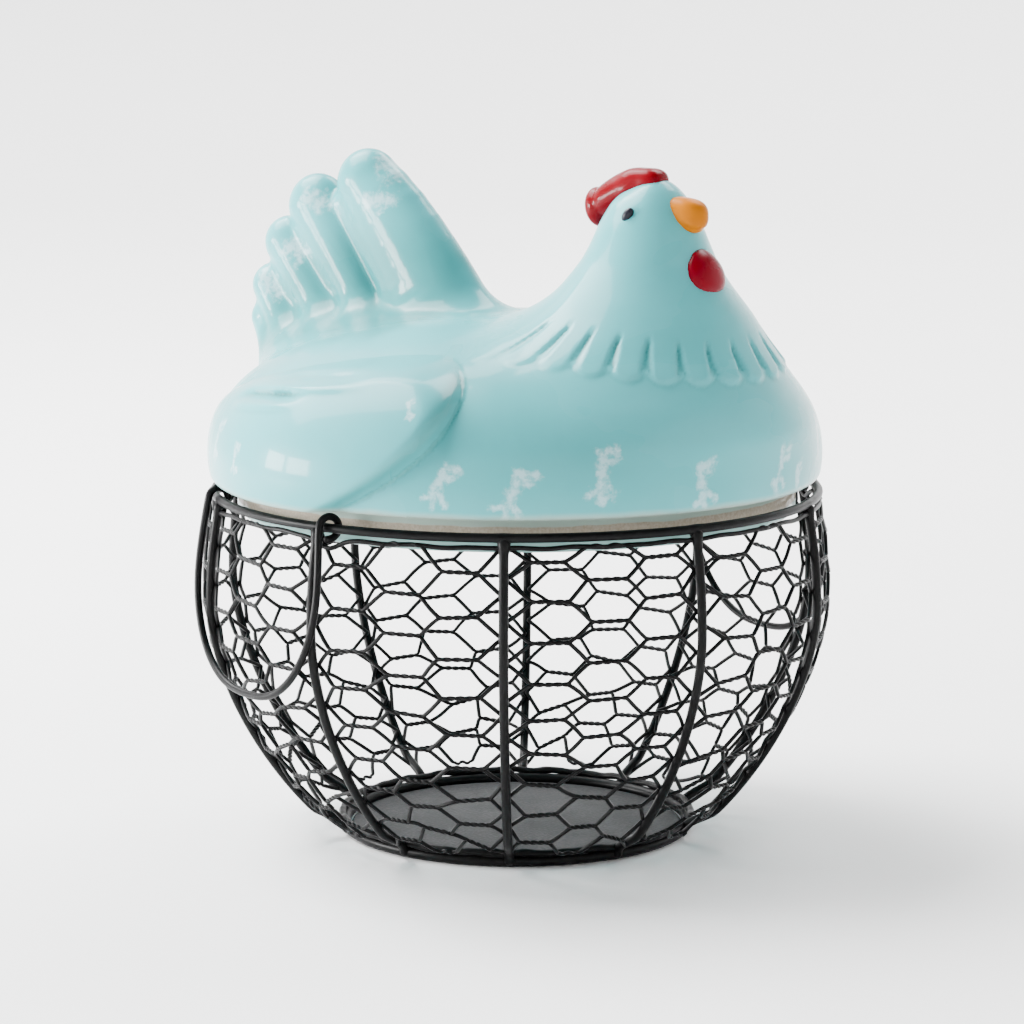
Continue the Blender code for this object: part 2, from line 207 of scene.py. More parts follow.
WEB_HALF = 0.0062            # the clay that fills the grooves between the feathers
WEB_SHARE = 0.66             # its thickness, as a share of the feathers'
WEB_END = 0.75               # how much of the way to the tips it reaches in the last stretch
TAIL_FILLET = 0.0022

# Root of the tail: centre as (ahead, height) and half sizes
ROOT = ((-0.062, 0.1605), (0.030, 0.049, 0.0155))

# Comb and beak: each a row of balls, with centre, half sizes, pitch, power and fillet to those before
COMB = [((0.0560, 0.2306), (0.0058, 0.0074, 0.0057), 0.0, 3.0, 0.0),
        ((0.0485, 0.2286), (0.0062, 0.0080, 0.0064), -0.25, 2.0, 0.003),
        ((0.0415, 0.2252), (0.0060, 0.0075, 0.0060), -0.55, 2.0, 0.003),
        ((0.0358, 0.2222), (0.0052, 0.0046, 0.0068), -0.20, 2.0, 0.0010)]
BEAK = [((0.0712, 0.2216), (0.0061, 0.0082, 0.0055), 0.10, 2.8, 0.0),
        ((0.0760, 0.2202), (0.0034, 0.0042, 0.0044), 0.30, 2.0, 0.003)]
MOUTH = (0.0720, 0.2188, 0.30)       # line of the mouth: a point of it (ahead, height), and its fall
MOUTH_DEPTH = 0.0003
MOUTH_HALF = 0.0006
WATTLE = ((0.0804, 0.2023), (0.0090, 0.0043, 0.0085), -0.45)
WATTLE_TAPER = 20            # how fast it narrows upwards, per metre
WATTLE_MIDDLE = 0.2020
HEN_EYE = ((0.0590, 0.2214), (0.0018, 0.0017, 0.0029), 0.61)
HEN_EYE_SIDE = 0.0148
SET_IN = 0.0004              # how far these are set into the hen


# Meshes

def add_piece(name, vertices, faces, body, slot, replaced):
    mesh = bpy.data.meshes.new(name)
    mesh.from_pydata(np.asarray(vertices).tolist(), [], [list(face) for face in faces])
    mesh.validate()
    mesh.shade_smooth()
    mesh.materials.append(LOOKS[slot].material)
    piece = bpy.data.objects.new(name, mesh)
    bpy.context.scene.collection.objects.link(piece)
    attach(piece, body)
    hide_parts(replaced)
    return piece


def unit(vectors):
    return vectors / np.linalg.norm(vectors, axis=-1, keepdims=True)


def tube(points, radii, sides, closed=False):
    """Vertices and faces of a round tube along points. An open tube has rounded ends."""
    points = np.asarray(points, float)
    radii = np.broadcast_to(np.asarray(radii, float), len(points))
    if closed:
        along = unit(np.roll(points, -1, 0) - np.roll(points, 1, 0))
    else:
        along = unit(np.gradient(points, axis=0))
        first = points[0] - along[0] * radii[0] * TIP_REACH
        last = points[-1] + along[-1] * radii[-1] * TIP_REACH
        points = np.vstack([first, points, last])
        radii = np.concatenate([[radii[0] * TIP_SHARE], radii, [radii[-1] * TIP_SHARE]])
        along = np.vstack([along[0], along, along[-1]])
    helper = np.array([0.0, 0.0, 1.0] if abs(along[0][2]) < STEEP else [1.0, 0.0, 0.0])
    across = np.empty_like(points)
    for index, direction in enumerate(along):
        helper = helper - direction * (helper @ direction)
        helper = helper / np.linalg.norm(helper)
        across[index] = helper
    other = np.cross(along, across)
    turns = 2 * np.pi * np.arange(sides) / sides
    outward = across[:, None] * np.cos(turns)[:, None] + other[:, None] * np.sin(turns)[:, None]
    rings = points[:, None] + radii[:, None, None] * outward
    count = len(points)
    faces = []
    for ring in range(count if closed else count - 1):
        here, there = ring * sides, (ring + 1) % count * sides
        for side in range(sides):
            beyond = (side + 1) % sides
            faces.append((here + side, here + beyond, there + beyond, there + side))
    if not closed:
        faces.append(tuple(reversed(range(sides))))
        faces.append(tuple(range((count - 1) * sides, count * sides)))
    return rings.reshape(-1, 3), faces


def joined(parts):
    """The vertices and faces of several parts as one mesh."""
    vertices, faces, start = [], [], 0
    for part_vertices, part_faces in parts:
        vertices.append(part_vertices)
        faces += [tuple(corner + start for corner in face) for face in part_faces]
        start += len(part_vertices)
    return np.vstack(vertices), faces


def lathe(profile, steps):
    """A profile of (radius, height) turned about Z. Points on the axis close it."""
    turns = 2 * np.pi * np.arange(steps) / steps
    vertices, rings = [], []
    for radius, height in profile:
        rings.append(len(vertices))
        if radius == 0:
            vertices.append((0, 0, height))
        else:
            vertices += [(radius * math.cos(turn), radius * math.sin(turn), height) for turn in turns]
    faces = []
    for (lower, upper), (here, there) in zip(zip(profile, profile[1:]), zip(rings, rings[1:])):
        for step in range(steps):
            after = (step + 1) % steps
            face = [here, here] if lower[0] == 0 else [here + step, here + after]
            face += [there, there] if upper[0] == 0 else [there + after, there + step]
            faces.append(tuple(dict.fromkeys(face)))
    return np.array(vertices), faces


# Shader nodes

class Look:
    """A material. Its nodes' sockets take a number, a colour or another node's output."""

    def __init__(self, name):
        self.material = bpy.data.materials.new(name)
        self.material.use_nodes = True
        self.shader = self.material.node_tree.nodes["Principled BSDF"]

    def feed(self, socket, value):
        if isinstance(value, bpy.types.NodeSocket):
            self.material.node_tree.links.new(value, socket)
        elif isinstance(value, tuple) and socket.type == "RGBA":
            socket.default_value = (*value, 1.0)
        else:
            socket.default_value = value

    def set(self, name, value):
        self.feed(self.shader.inputs[name], value)

    def linked(self, name):
        """The output that feeds one of the shader's sockets."""
        return self.shader.inputs[name].links[0].from_socket

    def node(self, kind, sockets, **settings):
        made = self.material.node_tree.nodes.new("ShaderNode" + kind)
        for name, value in settings.items():
            setattr(made, name, value)
        for name, value in sockets.items():
            self.feed(made.inputs[name], value)
        return made

    def place(self):
        return self.node("TexCoord", {}).outputs["Object"]

    def pointiness(self):
        return self.node("NewGeometry", {}).outputs["Pointiness"]

    def stored(self, name):
        """A number stored on the mesh."""
        return self.node("Attribute", {}, attribute_name=name).outputs["Fac"]

    def noise(self, scale, detail=3.0, roughness=0.55, distortion=0.0):
        sockets = {"Vector": self.place(), "Scale": scale, "Detail": detail,
                   "Roughness": roughness, "Distortion": distortion}
        return self.node("TexNoise", sockets).outputs["Fac"]

    def span(self, value, low, high, to_low=0.0, to_high=1.0, smooth=False):
        """value, from low to high, carried over to to_low to to_high."""
        sockets = {"Value": value, "From Min": low, "From Max": high, "To Min": to_low, "To Max": to_high}
        kind = "SMOOTHSTEP" if smooth else "LINEAR"
        return self.node("MapRange", sockets, interpolation_type=kind).outputs["Result"]

    def math(self, operation, first, second, clamp=False):
        made = self.node("Math", {}, operation=operation, use_clamp=clamp)
        self.feed(made.inputs[0], first)
        self.feed(made.inputs[1], second)
        return made.outputs[0]

    def times(self, first, second):
        return self.math("MULTIPLY", first, second)

    def mix(self, factor, first, second):
        made = self.node("Mix", {"Factor": factor}, data_type="RGBA")
        self.feed(made.inputs[6], first)
        self.feed(made.inputs[7], second)
        return made.outputs[2]

    def bump(self, height, strength, distance):
        sockets = {"Height": height, "Strength": strength, "Distance": distance}
        self.set("Normal", self.node("Bump", sockets).outputs["Normal"])


# Materials: glazes have a deep, a usual and a pale tone

AQUA_TONES = ((0.028, 0.200, 0.200), (0.064, 0.366, 0.386), (0.145, 0.53, 0.57))
RED_TONES = ((0.05, 0.0, 0.001), (0.140, 0.0, 0.003), (0.19, 0.0, 0.007))
CRIMSON_TONES = ((0.06, 0.0, 0.004), (0.160, 0.0, 0.007), (0.20, 0.0, 0.010))
YELLOW_TONES = ((0.24, 0.042, 0.0), (0.42, 0.118, 0.0), (0.50, 0.16, 0.0))
EYE_TONES = ((0.003, 0.003, 0.006), (0.006, 0.006, 0.011), (0.015, 0.015, 0.024))
SPRIG_WHITE = (0.52, 0.72, 0.76)
THIN_GLAZE = (0.31, 0.40, 0.35)
DARK_CLAY = (0.27, 0.235, 0.185)
PALE_CLAY = (0.36, 0.315, 0.25)


def black_coating():
    """Satin powder coating: faint orange peel, a little dust, thinner on the crests."""
    look = Look("black_coating")
    dust = look.span(look.noise(60.0, 4.0), 0.45, 0.75, smooth=True)
    base = look.mix(dust, (0.0012, 0.0012, 0.0014), (0.0028, 0.0028, 0.0030))
    crest = look.span(look.pointiness(), 0.52, 0.62)
    look.set("Base Color", look.mix(crest, base, (0.0045, 0.0045, 0.0047)))
    look.set("Roughness", look.span(dust, 0.0, 1.0, 0.38, 0.50))
    look.set("Specular IOR Level", 0.12)
    look.bump(look.noise(1400.0, 2.0), 0.25, 0.00012)
    return look


def grey_coating():
    """The floor plate's matt grey coating, cloudy and finely speckled."""
    look = Look("grey_coating")
    cloud = look.span(look.noise(38.0, 5.0, 0.6), 0.3, 0.7, smooth=True)
    speckle = look.span(look.noise(900.0, 2.0), 0.42, 0.68)
    base = look.mix(cloud, (0.026, 0.026, 0.0275), (0.038, 0.038, 0.0395))
    look.set("Base Color", look.mix(speckle, base, (0.048, 0.048, 0.0495)))
    look.set("Roughness", look.span(cloud, 0.0, 1.0, 0.50, 0.64))
    look.set("Specular IOR Level", 0.12)
    look.bump(speckle, 0.3, 0.0002)
    return look


def glaze(name, tones, variation, coat, sheen):
    """A glossy glaze that pools darker in hollows and breaks paler over edges.

    tones are its deep, usual and pale colours, coat is the weight of its clear top layer, and sheen
    the reflection level of the colour under that.
    """
    look = Look(name)
    deep, usual, pale = tones
    cloud = look.span(look.noise(variation, 4.0, 0.55, 0.4), 0.3, 0.72, smooth=True)
    base = look.mix(cloud, usual, tuple(0.55 * m + 0.45 * p for m, p in zip(usual, pale)))
    hollow = look.span(look.pointiness(), 0.50, 0.44)
    edge = look.span(look.pointiness(), 0.51, 0.60)
    base = look.mix(look.times(hollow, 0.8), base, deep)
    base = look.mix(look.times(edge, 0.55), base, pale)
    look.set("Base Color", base)
    look.set("Roughness", look.span(cloud, 0.0, 1.0, 0.24, 0.34))
    look.set("Coat Weight", coat)
    look.set("Coat Roughness", 0.065)
    look.set("Coat IOR", 1.35)
    look.set("Specular IOR Level", sheen)
    look.bump(look.noise(55.0, 3.0), 0.12, 0.0006)
    return look


def aqua_glaze():
    """The hen's glaze, with painted shade inside the wings' front edges and down the tail, sponged white
    sprigs and the bare clay left where the lid sits.
    """
    look = glaze("aqua_glaze", AQUA_TONES, variation=9.0, coat=0.30, sheen=0.12)
    glazed = look.linked("Base Color")
    # Painted shade: the stored band darkens the glaze towards its deep tone
    glazed = look.mix(look.times(look.stored("painted_shade"), 0.6), glazed, AQUA_TONES[0])
    ragged = look.span(look.noise(330.0, 3.0, 0.6), 0.3, 0.7, -0.0013, 0.0013)
    reach = look.math("ADD", look.stored("sprig"), ragged)
    mark = look.span(reach, 0.0015, -0.0010, smooth=True)
    holes = look.span(look.noise(420.0, 3.0), 0.32, 0.50, 0.25, 1.0)
    mark = look.times(look.times(mark, holes), 0.62)
    painted = look.mix(mark, glazed, SPRIG_WHITE)
    place = look.node("SeparateXYZ", {"Vector": look.place()}).outputs["Z"]
    uneven = look.span(look.noise(60.0, 3.0), 0.3, 0.7, -0.0004, 0.0004)
    height = look.math("ADD", place, uneven)
    thin = look.span(height, LID_FLOOR + 0.0030, LID_FLOOR - 0.0004, smooth=True)
    above = look.span(height, RIM_HEIGHT - 0.0022, RIM_HEIGHT - 0.0016)
    thin = look.times(thin, look.span(above, 0.0, 1.0, 0.6, 1.0))
    thinned = look.mix(thin, painted, THIN_GLAZE)
    below = look.span(height, LID_FLOOR - 0.0030, LID_FLOOR - 0.0034)
    bare = look.times(below, above)
    grain = look.span(look.noise(1100.0, 3.0), 0.35, 0.7)
    clay = look.mix(grain, DARK_CLAY, PALE_CLAY)
    look.set("Base Color", look.mix(bare, thinned, clay))
    glossy = look.linked("Roughness")
    dull = look.times(bare, 0.55)
    look.set("Roughness", look.math("ADD", glossy, dull, clamp=True))
    return look


LOOKS = {
    "black_coating": black_coating(),
    "grey_coating": grey_coating(),
    "aqua_glaze": aqua_glaze(),
    "red_glaze": glaze("red_glaze", RED_TONES, variation=60.0, coat=0.16, sheen=0.05),
    "crimson_glaze": glaze("crimson_glaze", CRIMSON_TONES, variation=60.0, coat=0.03, sheen=0.08),
    "yellow_glaze": glaze("yellow_glaze", YELLOW_TONES, variation=60.0, coat=0.08, sheen=0.03),
    "eye_glaze": glaze("eye_glaze", EYE_TONES, variation=60.0, coat=0.3, sheen=0.1),
}


# Basket

def wall_radius(height):
    """Radius of the basket's wall at a height."""
    height = np.asarray(height, float)
    up = np.clip((height - BELLY_HEIGHT) / (RIM_HEIGHT - BELLY_HEIGHT), 0, None)
    down = np.clip((BELLY_HEIGHT - height) / BELLY_HEIGHT, 0, 1)
    upper = BELLY_RADIUS - (BELLY_RADIUS - RIM_RADIUS) * up ** 2
    lower = BASE_RADIUS + (BELLY_RADIUS - BASE_RADIUS) * (1 - down ** BELLY_POWER) ** FOOT_POWER
    return np.where(height >= BELLY_HEIGHT, upper, lower)


def wall_heights(low, high, spaces):
    """Heights that part the wall between low and high into equal lengths along its curve."""
    heights = np.linspace(low, high, WALL_POINTS)
    steps = np.hypot(np.diff(heights), np.diff(wall_radius(heights)))
    lengths = np.concatenate([[0], np.cumsum(steps)])
    return np.interp(np.linspace(0, lengths[-1], spaces + 1), lengths, heights)


def on_wall(angle, height, out=0.0):
    """Points on the basket's wall, or a way outwards from it."""
    radius = wall_radius(height) + out
    height = np.broadcast_to(height, np.shape(radius))
    return np.stack([radius * np.cos(angle), radius * np.sin(angle), height], -1)


def rib_angle(index):
    return FIRST_RIB + 2 * math.pi * index / RIB_COUNT


def weld_swell(points, radius):
    """A rod's radii, growing towards a weld at both of its ends."""
    steps = np.linalg.norm(np.diff(points, axis=0), axis=1)
    along = np.concatenate([[0], np.cumsum(steps)])
    to_end = np.minimum(along, along[-1] - along)
    swell = np.where(along > along[-1] / 2, WELD_SWELL, FOOT_SWELL)
    return radius * (1 + (swell - 1) * np.exp(-(to_end / WELD_LENGTH) ** 2))


def make_ribs():
    heights = wall_heights(RIB_FOOT, RIM_HEIGHT - RIM_ROD * RIB_SINK, 64)
    to_foot = 1 - rise(heights, RIB_FOOT, RIB_BEND)
    inward = (wall_radius(heights) - BASE_RADIUS - FOOT_OUT) * to_foot
    for index in range(RIB_COUNT):
        points = on_wall(np.full(len(heights), rib_angle(index)), heights, -inward)
        part = tube(points, weld_swell(points, RIB_ROD / 2), 14)
        name = f"rib_{index + 1:02d}"
        add_piece("wire_" + name, *part, "basket", "black_coating", name)


def ring_points(radius, height):
    heights = np.full(len(RING_TURNS), height)
    return np.stack([radius * np.cos(RING_TURNS), radius * np.sin(RING_TURNS), heights], -1)


def bump_near(places, reach):
    """How near each of a ring's turns is to one of the places: 1 at a place, falling to 0 within reach."""
    result = np.zeros(len(RING_TURNS))
    for place in places:
        away = np.abs((RING_TURNS - place + np.pi) % (2 * np.pi) - np.pi)
        result = np.maximum(result, np.exp(-(away / reach) ** 2))
    return result


def eye_angles():
    return [HANDLE_SPREAD, -HANDLE_SPREAD, math.pi - HANDLE_SPREAD, math.pi + HANDLE_SPREAD]


def wander(first, second):
    """An uneven wave along a ring, between -1 and 1."""
    return np.sin(first * RING_TURNS) * np.sin(second * RING_TURNS)


def welded_ring(radius, height, rod, swell):
    welds = bump_near([rib_angle(index) for index in range(RIB_COUNT)], WELD_ANGLE)
    return tube(ring_points(radius, height), rod / 2 * (1 + swell * welds), 16, closed=True)


def make_rings():
    rim = welded_ring(RIM_RADIUS, RIM_HEIGHT, RIM_ROD, RIM_WELD)
    binding = ring_points(RIM_RADIUS + RIM_BINDING_OUT, RIM_HEIGHT - RIM_BINDING_DOWN)
    binding[:, 2] -= EYE_DIP * bump_near(eye_angles(), EYE_DIP_ANGLE)
    binding[:, 2] -= RIM_WANDER * wander(31, 7)
    wire = tube(binding, RIM_BINDING, 8, closed=True)
    add_piece("rim_rod", *joined([rim, wire]), "basket", "black_coating", "rim_ring")
    base = welded_ring(BASE_RADIUS, BASE_ROD / 2, BASE_ROD, BASE_WELD)
    binding = ring_points(BASE_RADIUS + FOOT_OUT, BASE_BINDING_HEIGHT)
    binding[:, 2] += BASE_WANDER * wander(23, 5)
    wire = tube(binding, BASE_BINDING * (1 + BASE_LUMPS * wander(41, 17)), 8, closed=True)
    add_piece("base_rod", *joined([base, wire]), "basket", "black_coating", "base_ring")


def make_plate():
    low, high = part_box("base_plate")
    radius, top = high.x, high.z
    step = PLATE_EDGE / 12
    profile = [(0, top - step), (radius * 0.5, top - step), (radius * 0.9, top - step / 2),
               (radius - PLATE_EDGE, top), (radius - 4 * step, top - step), (radius, top - 5 * step),
               (radius, 4 * step), (radius - 4 * step, 0.0), (radius * 0.5, 0.0), (0, 0.0)]
    add_piece("floor_plate", *lathe(profile[::-1], 128), "basket", "grey_coating", "base_plate")


def make_bay(index, rng):
    """The netting of one bay: wires that zigzag from rib to rib, twisted in pairs along level bars."""
    heights = wall_heights(NET_FOOT, RIM_HEIGHT - NET_TOP, LEVELS)
    middle = rib_angle(index) + math.pi / RIB_COUNT
    calm = CALM if index in CALM_BAYS else 1.0
    bars = {}
    corners = {}

    def unrest(level):
        """How far corners stray, in metres: more towards the crowded foot."""
        return calm * (UNREST_TOP + UNREST_FOOT * (1 - level / LEVELS) ** UNREST_POWER)

    def height_at(level):
        if level <= 0 or level >= LEVELS:
            return heights[min(max(level, 0), LEVELS)]
        fade = min(level / 3, (LEVELS - level) / 1.5, 1.0)
        return heights[level] + BAY_SHIFT[index] * fade

    for level in range(LEVELS + 1):
        for column in ((0,) if level % 2 == 0 else (-1, 1)):
            stray = unrest(level)
            held = level in (0, LEVELS)
            height = height_at(level) + (0 if held else rng.normal(0, stray * 0.5))
            radius = float(wall_radius(height))
            centre = middle + column * COLUMN_PITCH + rng.normal(0, stray * 0.9) / radius
            half = BAR_HALF * (1 + rng.normal(0, 0.04 + 18 * stray))
            tilt = 0 if held else rng.normal(0, stray * 0.5)
            bars[column, level] = (centre - half, height - tilt, centre + half, height + tilt)
    for level in range(0, LEVELS + 1, 2):
        for side in (-1, 1):
            angle = middle + side * (math.pi / RIB_COUNT - RIB_EDGE)
            corners[side, level] = (angle, height_at(level) + rng.normal(0, unrest(level) * 0.4))

    def slant(start, end, out_start=0.0, out_end=0.0):
        shares = np.array([0.1, 0.3, 0.5, 0.7, 0.9])
        angles = start[0] + (end[0] - start[0]) * shares
        levels = start[1] + (end[1] - start[1]) * shares
        bow = rng.normal(0, SLANT_BOW) * np.sin(np.pi * shares)
        return on_wall(angles, levels + bow, out_start + (out_end - out_start) * shares)

    def twisted(bar, from_above):
        left, low, right, high = bar
        shares = np.linspace(0, 1, TWIST_STEPS)
        turn = 2 * np.pi * TWIST_TURNS * shares + (0 if from_above else np.pi)
        angles = left + (right - left) * shares
        levels = low + (high - low) * shares + TWIST * np.cos(turn)
        return on_wall(angles, levels, TWIST * np.sin(turn))

    def held_corner(corner):
        return on_wall(np.array([corner[0]]), np.array([corner[1]]), TUCK)

    lone, pair = SINGLE_WIRE, STRAND
    sizes = [lone, lone, pair, lone, pair, lone, pair, lone, lone]
    parts = []
    for level in range(0, LEVELS + 1, 2):
        for step in (1, -1):
            beside = level + step
            if not 0 <= beside <= LEVELS:
                continue
            left, centre, right = bars[-1, beside], bars[0, level], bars[1, beside]
            route = [held_corner(corners[-1, level]), slant(corners[-1, level], left[:2], TUCK, 0.0),
                     twisted(left, step < 0), slant(left[2:], centre[:2]),
                     twisted(centre, step > 0), slant(centre[2:], right[:2]),
                     twisted(right, step < 0), slant(right[2:], corners[1, level], 0.0, TUCK),
                     held_corner(corners[1, level])]
            radii = np.concatenate([np.full(len(part), size) for part, size in zip(route, sizes)])
            parts.append(tube(np.vstack(route), radii, 6))
    name = f"net_panel_{index + 1:02d}"
    add_piece(f"netting_{index + 1:02d}", *joined(parts), "basket", "black_coating", name)


# Handles

def handle_line():
    """A handle's centre line. It hangs down -Z from an axis along Y, its legs on the +X side."""
    half = RIM_RADIUS * math.sin(HANDLE_SPREAD)
    turns = EYE_TURN * (1 - np.linspace(0, 1, BEND_STEPS))
    eye = np.stack([EYE_RADIUS * np.cos(turns), np.full(BEND_STEPS, half), EYE_RADIUS * np.sin(turns)], -1)
    leg = np.linspace(0, HANDLE_STRAIGHT, 6)[1:-1]
    leg = np.stack([np.full(len(leg), EYE_RADIUS), np.full(len(leg), half), -leg], -1)
    turns = np.pi / 2 * np.linspace(0, 1, BEND_STEPS)
    drop = HANDLE_STRAIGHT + (HANDLE_DROP - HANDLE_STRAIGHT) * np.sin(turns) ** BOW_DROP_POWER
    bow = np.stack([np.full(BEND_STEPS, EYE_RADIUS), half * np.cos(turns) ** BOW_WIDTH_POWER, -drop], -1)
    for part in (leg, bow):
        part[:, 1] += HANDLE_BULGE * np.sin(np.pi * -part[:, 2] / HANDLE_DROP)
    one = np.vstack([eye, leg, bow])
    other = one[-2::-1] * np.array([1, -1, 1])
    line = np.vstack([one, other])
    for _ in range(3):
        line[1:-1] = (line[:-2] + 2 * line[1:-1] + line[2:]) / 4
    return line


def make_handle(name, side):
    line = handle_line()
    turn = Matrix.Rotation(-HANDLE_TILT, 3, "Y")
    if side < 0:
        turn = Matrix.Rotation(math.pi, 3, "Z") @ turn
    pivot = np.array([side * RIM_RADIUS * math.cos(HANDLE_SPREAD), 0, RIM_HEIGHT])
    line = line @ np.array(turn).T + pivot
    body = "left_handle" if side < 0 else "right_handle"
    add_piece(name + "_wire", *tube(line, HANDLE_WIRE / 2, 14), body, "black_coating", name)


# Hen: signed distances, in the hen's own axes. It looks along -Y, and "ahead" is -Y.

def fuse(first, second, reach):
    """The two forms as one, with a fillet where they meet."""
    share = np.clip(0.5 + 0.5 * (second - first) / reach, 0, 1)
    return second + (first - second) * share - reach * share * (1 - share)


def trim_to(first, second, reach):
    """What the two forms have in common, with a rounded edge."""
    return -fuse(-first, -second, reach)


def rise(value, low, high):
    share = np.clip((value - low) / (high - low), 0, 1)
    return share * share * (3 - 2 * share)


def ball(x, ahead, z, centre, half, pitch=0.0, side=0.0, power=2.0):
    """About the distance to an ellipsoid at centre (ahead, height), pitched nose down by an angle.

    A power above 2 makes it squarer.
    """
    along, up = ahead - centre[0], z - centre[1]
    cos, sin = math.cos(pitch), math.sin(pitch)
    along, up = along * cos - up * sin, along * sin + up * cos
    place = [(x - side) / half[0], along / half[1], up / half[2]]
    near = sum(np.abs(part) ** power for part in place) ** (1 / power)
    steep = np.sqrt(sum((part / size) ** 2 for part, size in zip(place, half)))
    return near * (near - 1) / np.maximum(steep, 1e-6)


def smoothed(stations, low, high):
    """Columns of stations against height, sampled closely with their corners rounded off."""
    heights = np.arange(low, high, 0.0005)
    table = np.array(stations)
    columns = []
    for column in range(1, table.shape[1]):
        values = np.interp(heights, table[:, 0], table[:, column])
        for _ in range(60):
            values[1:-1] = (values[:-2] + 2 * values[1:-1] + values[2:]) / 4
        columns.append(values)
    return heights, columns


NECK_HEIGHTS, (NECK_AHEAD, NECK_RADIUS) = smoothed(NECK, 0.128, 0.222)
NECK_SLOPE = np.gradient(NECK_RADIUS, NECK_HEIGHTS)


def dome(x, ahead, z):
    radius = np.hypot(x, ahead)
    up = np.clip((z - DOME_WAIST) / DOME_RISE, 0, None)
    out = radius / DOME_RADIUS
    size = np.maximum((out ** DOME_POWER + up ** DOME_POWER) ** (1 / DOME_POWER), 0.02)
    steep_out = (out / size) ** (DOME_POWER - 1) / DOME_RADIUS
    steep_up = (up / size) ** (DOME_POWER - 1) / DOME_RISE
    steep = np.hypot(steep_out, steep_up)
    down = np.clip((DOME_WAIST - z) / (DOME_WAIST - LID_FLOOR), 0, 2)
    return (size - 1) / np.maximum(steep, 6.0) + (DOME_RADIUS - SEAT_RADIUS) * down ** 2


def wing_edges(angle, z):
    """How far outside a wing's front edge and top edge a point is, at an angle from straight ahead."""
    front = WING_FRONT + WING_SWEEP * np.clip((WING_BEND - z) / WING_SWEEP_DROP, 0, None) ** 2
    top = WING_TOP - WING_TOP_FALL * np.clip((angle - WING_TOP_TURN) / WING_TOP_SPAN, 0, None) ** 2
    return (front - angle) * math.radians(1) * WING_EDGE_RADIUS, (z - top) * WING_TOP_SLANT


def wings(x, ahead, z):
    """How far the folded wings stand proud of the dome."""
    angle = np.degrees(np.arctan2(np.abs(x), ahead))
    edge = trim_to(*wing_edges(angle, z), WING_CORNER)
    inward = np.clip(-edge / WING_RIM, 0, 1)
    pad = 1 - (1 - inward) ** 2
    share = WING_LOW + (1 - WING_LOW) * (1 - rise(angle, *WING_FADE))
    height = WING_HEIGHT * pad * share * (1 - rise(angle, *WING_END))
    for start, end, low, high in WING_LINES:
        along = (angle - start) / (end - start)
        window = rise(along, 0, 0.35) * (1 - rise(along, 0.7, 1.0))
        away = (z - low - (high - low) * along) / WING_LINE_HALF
        lip = WING_LINE_LIP * np.exp(-(away + 1.6) ** 2)
        height = height + window * (lip - WING_LINE_DEPTH * np.exp(-away ** 2))
    return height


def neck(x, ahead, z):
    """Distance to the neck's surface, distance from its axis, and turn about that from straight ahead."""
    centre = np.interp(z, NECK_HEIGHTS, NECK_AHEAD)
    radius = np.interp(z, NECK_HEIGHTS, NECK_RADIUS)
    slope = np.interp(z, NECK_HEIGHTS, NECK_SLOPE)
    out = np.hypot(x, ahead - centre)
    side = (out - radius) / np.sqrt(1 + slope ** 2)
    return side, out, np.arctan2(x, ahead - centre)


def collar(out, turn, z):
    """How far the collar of feathers stands proud: round tips, with a wedge cut between each two."""
    phase = (turn * FEATHERS / (2 * np.pi) + 0.5) % 1 - 0.5       # 0 in the middle of a feather
    edge = COLLAR_EDGE + COLLAR_TILT * np.clip(1 - np.cos(turn), 0, 1)
    tip = edge - COLLAR_TIP * (1 - (2 * np.abs(phase)) ** 2)
    up = (z - edge) / GROOVE_LENGTH
    half = GROOVE_HALF * np.clip(1 - up, 0, 1)
    to_groove = (0.5 - np.abs(phase)) * 2 * np.pi / FEATHERS * out
    cut = (1 - rise(to_groove - half, *GROOVE_SIDE)) * (1 - rise(up, GROOVE_FADE, 1.0))
    body = rise(z - tip, *COLLAR_STEP) * (1 - rise(z - edge, *COLLAR_FADE))
    ends = rise(np.abs(turn), *COLLAR_ENDS)
    return COLLAR_RISE * (body - cut * rise(z, tip, tip + 0.002)) * (1 - ends)


def feather(x, ahead, z, line, thickness):
    """A tail feather: a flattened round form along a bent line."""
    table = np.array(line)
    places = np.linspace(0, len(line) - 1, 9)
    fine = np.stack([np.interp(places, range(len(line)), table[:, column]) for column in range(3)], -1)
    for _ in range(2):
        fine[1:-1] = (fine[:-2] + 2 * fine[1:-1] + fine[2:]) / 4
    thick = np.linspace(thickness[0], thickness[1], 9)
    result = None
    for low, high, thin, thinner in zip(fine, fine[1:], thick, thick[1:]):
        start, end = low[:2], high[:2]
        run = end - start
        away = (-ahead - start[0], z - start[1])
        share = np.clip((away[0] * run[0] + away[1] * run[1]) / (run @ run), 0, 1)
        radius = low[2] + (high[2] - low[2]) * share
        flat = radius / (thin + (thinner - thin) * share)
        reach = np.hypot(away[0] - run[0] * share, away[1] - run[1] * share)
        distance = (np.hypot(reach, x * flat) - radius) / np.maximum(flat, 1)
        result = distance if result is None else np.minimum(result, distance)
    return result


def tail(x, ahead, z):
    """The fan of feathers, with a thinner web along each groove between two of them."""
    result = None
    for line, thickness in TAIL:
        distance = feather(x, ahead, z, line, thickness)
        result = distance if result is None else fuse(result, distance, TAIL_FILLET)
    for (line, thickness), (beyond, _) in zip(TAIL, TAIL[1:]):
        groove = (np.array(line) + np.array(beyond)) / 2
        groove[-1] = groove[-2] + (groove[-1] - groove[-2]) * WEB_END
        groove[:, 2] = WEB_HALF
        web = feather(x, ahead, z, groove, [size * WEB_SHARE for size in thickness])
        result = fuse(result, web, TAIL_FILLET)
    return result


